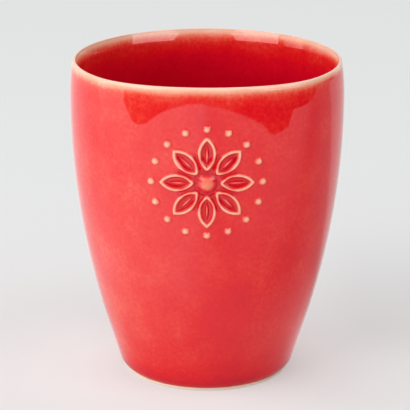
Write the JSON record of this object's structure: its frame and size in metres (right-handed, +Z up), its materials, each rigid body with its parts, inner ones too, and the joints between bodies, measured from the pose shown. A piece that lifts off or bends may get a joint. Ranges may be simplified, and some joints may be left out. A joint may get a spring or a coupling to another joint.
{
  "type": "tumbler cup",
  "caption": "Handleless glazed tumbler on a small foot ring, its wall flattened at the front behind a raised flower medallion",
  "frame": {"origin": "the middle of the part's box, on the table; the cup's axis stands 1.36 mm in front of it, because the front is flatter than the back", "axes": "+Z is up, parallel to the cup's axis; the medallion faces -Y; +X is to the right when facing the medallion"},
  "size_m": [0.084, 0.0812, 0.099],
  "materials": {
    "bare_clay": "matt",
    "red_glaze": "glossy",
    "red_glaze_inside": "glossy",
    "thin_glaze": "glossy",
    "raised_glaze": "glossy"
  },
  "bodies": {
    "root": {"clay_body": "bare_clay", "outer_glaze": "red_glaze", "inner_glaze": "red_glaze_inside", "lip_glaze": "thin_glaze", "base_glaze": "red_glaze_inside", "sprig_boss": "raised_glaze", "sprig_petals": "raised_glaze", "sprig_veins": "raised_glaze", "sprig_beads": "raised_glaze"}
  },
  "joints": []
}
